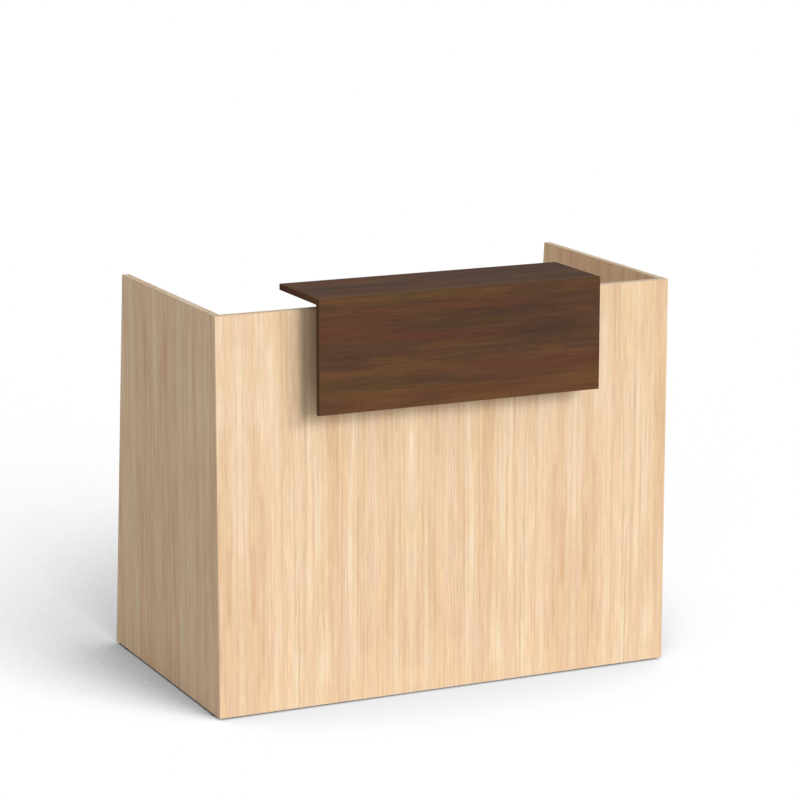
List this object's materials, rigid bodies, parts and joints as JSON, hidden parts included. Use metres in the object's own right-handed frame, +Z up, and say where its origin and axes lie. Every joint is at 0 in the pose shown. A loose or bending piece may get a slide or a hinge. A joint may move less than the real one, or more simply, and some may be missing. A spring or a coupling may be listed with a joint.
{
  "type": "reception desk",
  "caption": "Reception desk with a light oak shell open at the back, an inner worktop, and a dark walnut counter shelf with a drop panel standing off the front.",
  "frame": {"origin": "on the floor, under the middle of the whole desk", "axes": "+X to the right as a visitor faces the desk, +Y from the visitor towards the person behind the desk, +Z up"},
  "size_m": [1.4, 0.924, 1.18],
  "materials": {
    "oak_board": "light oak decor board, upright grain, satin",
    "oak_band": "light oak edge band, rounded corners, satin",
    "walnut_board": "dark walnut decor board, grain along the width, satin",
    "walnut_band": "dark walnut edge band, satin",
    "steel_fittings": "zinc plated",
    "foot_plastic": "black, matt",
    "grommet_plastic": "dark grey, fine texture"
  },
  "bodies": {
    "desk": {"front_panel": "oak_board", "left_end_panel": "oak_board", "right_end_panel": "oak_board", "worktop": "oak_board", "front_panel_top_band": "oak_band", "left_end_top_band": "oak_band", "right_end_top_band": "oak_band", "left_end_rear_band": "oak_band", "right_end_rear_band": "oak_band", "worktop_rear_band": "oak_band", "counter_top": "walnut_board", "counter_drop": "walnut_board", "counter_top_left_band": "walnut_band", "counter_top_right_band": "walnut_band", "counter_top_rear_band": "walnut_band", "counter_drop_left_band": "walnut_band", "counter_drop_right_band": "walnut_band", "counter_drop_bottom_band": "walnut_band", "counter_bracket_left": "steel_fittings", "counter_bracket_middle": "steel_fittings", "counter_bracket_right": "steel_fittings", "counter_spacer_left": "steel_fittings", "counter_spacer_right": "steel_fittings", "corner_angle_left_lower": "steel_fittings", "corner_angle_left_middle": "steel_fittings", "corner_angle_left_upper": "steel_fittings", "corner_angle_right_lower": "steel_fittings", "corner_angle_right_middle": "steel_fittings", "corner_angle_right_upper": "steel_fittings", "worktop_rail_front": "steel_fittings", "worktop_rail_left": "steel_fittings", "worktop_rail_right": "steel_fittings", "foot_insert_front_left": "steel_fittings", "foot_insert_rear_left": "steel_fittings", "foot_insert_front_right": "steel_fittings", "foot_insert_rear_right": "steel_fittings", "grommet_sleeve_left": "grommet_plastic", "grommet_sleeve_right": "grommet_plastic"},
    "front_left_foot": {"foot_front_left": "foot_plastic"},
    "rear_left_foot": {"foot_rear_left": "foot_plastic"},
    "front_right_foot": {"foot_front_right": "foot_plastic"},
    "rear_right_foot": {"foot_rear_right": "foot_plastic"},
    "left_cap": {"grommet_cap_left": "grommet_plastic"},
    "right_cap": {"grommet_cap_right": "grommet_plastic"}
  },
  "joints": [
    {"name": "front_left_foot_screw", "type": "slide", "parent": "desk", "child": "front_left_foot", "axis": [0, 0, -1], "range_m": [0, 0.012]},
    {"name": "rear_left_foot_screw", "type": "slide", "parent": "desk", "child": "rear_left_foot", "axis": [0, 0, -1], "range_m": [0, 0.012]},
    {"name": "front_right_foot_screw", "type": "slide", "parent": "desk", "child": "front_right_foot", "axis": [0, 0, -1], "range_m": [0, 0.012]},
    {"name": "rear_right_foot_screw", "type": "slide", "parent": "desk", "child": "rear_right_foot", "axis": [0, 0, -1], "range_m": [0, 0.012]},
    {"name": "left_cap_turn", "type": "hinge", "parent": "desk", "child": "left_cap", "pos_m": [-0.46, -0.26, 0.74], "axis": [0, 0, 1], "continuous": true},
    {"name": "right_cap_turn", "type": "hinge", "parent": "desk", "child": "right_cap", "pos_m": [0.46, -0.26, 0.74], "axis": [0, 0, 1], "continuous": true}
  ]
}
